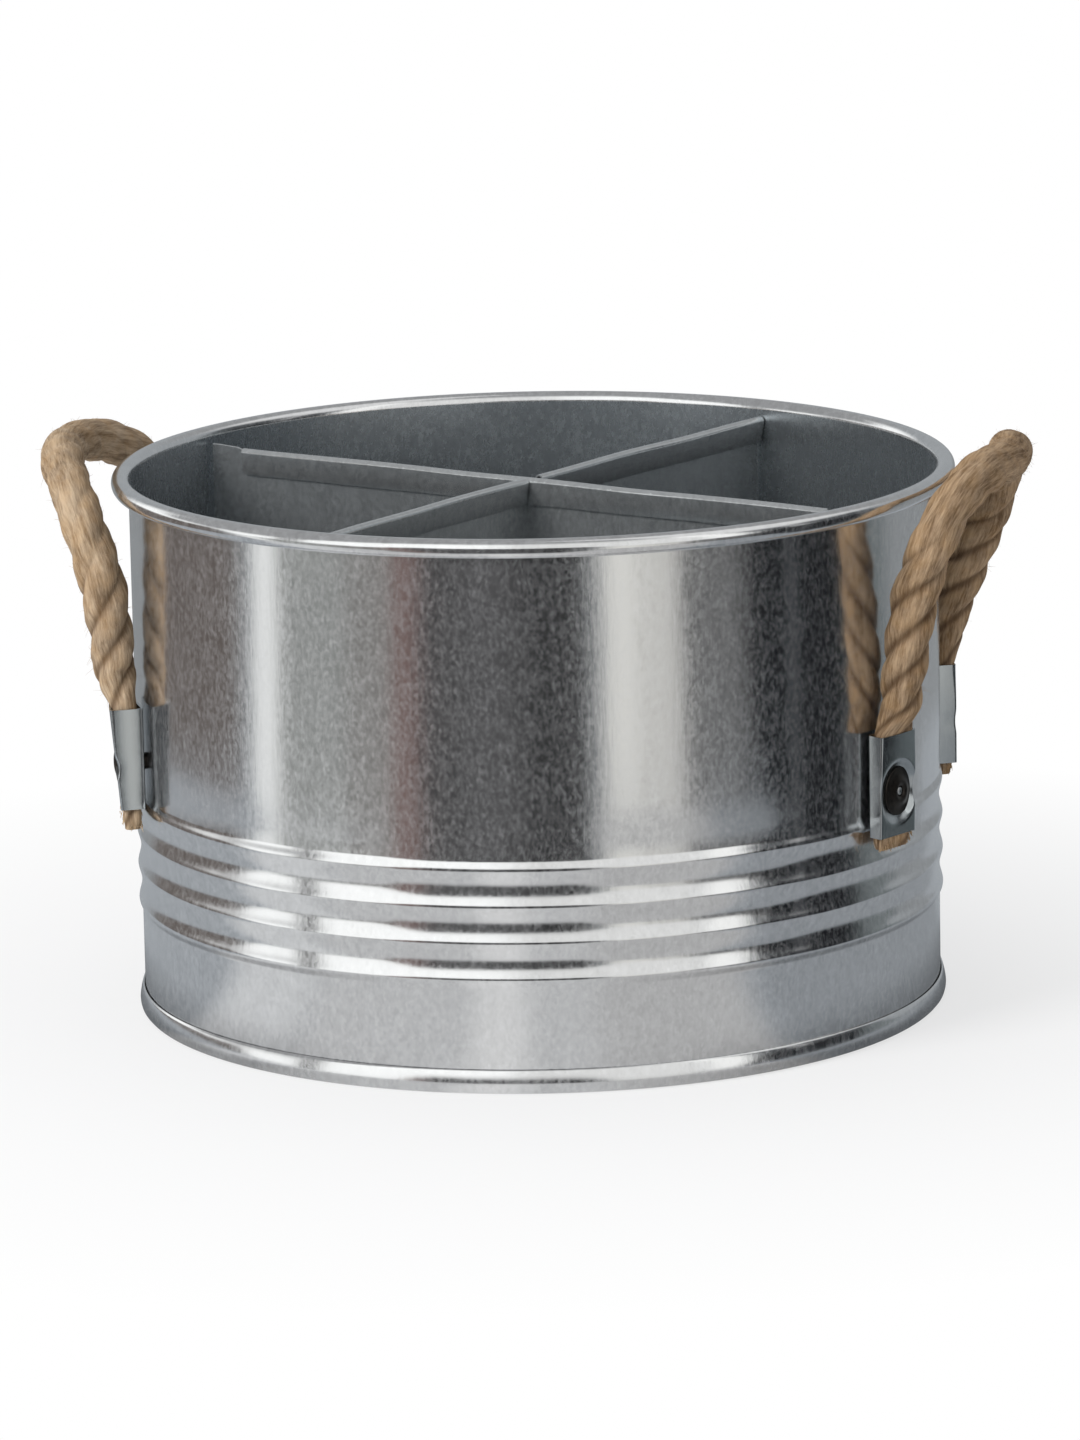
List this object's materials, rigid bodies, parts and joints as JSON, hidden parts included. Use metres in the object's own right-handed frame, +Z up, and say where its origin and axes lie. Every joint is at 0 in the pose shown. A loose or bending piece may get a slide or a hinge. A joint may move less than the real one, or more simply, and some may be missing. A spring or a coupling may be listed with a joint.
{
  "type": "galvanized bottle stand",
  "caption": "Round galvanized sheet-metal tub with a crossed divider, a rolled rim, pressed ribs and a riveted rope handle on each side.",
  "frame": {"origin": "on the ground under the tub's centre", "axes": "+Z up, +X towards one rope handle, -X towards the other"},
  "size_m": [0.2959, 0.2502, 0.1704],
  "materials": {
    "galvanized_sheet": "galvanized, half-bright with a fine spangle",
    "steel_wire": "plain drawn wire",
    "bright_zinc": "bright zinc-plated strip",
    "jute_rope": "three-strand twisted jute rope",
    "dark_rivet": "dark domed rivet",
    "mandrel_steel": "bright broken steel pin"
  },
  "bodies": {
    "tub": {"tub_wall": "galvanized_sheet", "rim_wire": "steel_wire", "base_pan": "galvanized_sheet", "divider_long": "galvanized_sheet", "divider_cross": "galvanized_sheet", "rope_clamp_right_front": "bright_zinc", "rope_end_right_front": "jute_rope", "rivet_right_front": "dark_rivet", "rivet_mandrel_right_front": "mandrel_steel", "rope_clamp_right_rear": "bright_zinc", "rope_end_right_rear": "jute_rope", "rivet_right_rear": "dark_rivet", "rivet_mandrel_right_rear": "mandrel_steel", "rope_clamp_left_front": "bright_zinc", "rope_end_left_front": "jute_rope", "rivet_left_front": "dark_rivet", "rivet_mandrel_left_front": "mandrel_steel", "rope_clamp_left_rear": "bright_zinc", "rope_end_left_rear": "jute_rope", "rivet_left_rear": "dark_rivet", "rivet_mandrel_left_rear": "mandrel_steel"},
    "handle_right": {"rope_handle_right": "jute_rope"},
    "handle_left": {"rope_handle_left": "jute_rope"}
  },
  "joints": [
    {"name": "handle_right_fold", "type": "hinge", "parent": "tub", "child": "handle_right", "pos_m": [0.11566, 0, 0.0995], "axis": [0, 1, 0], "range_deg": [-3, 60], "stiffness_Nm_per_rad": 0.5},
    {"name": "handle_left_fold", "type": "hinge", "parent": "tub", "child": "handle_left", "pos_m": [-0.11566, 0, 0.1034], "axis": [0, -1, 0], "range_deg": [-3, 60], "stiffness_Nm_per_rad": 0.5}
  ]
}
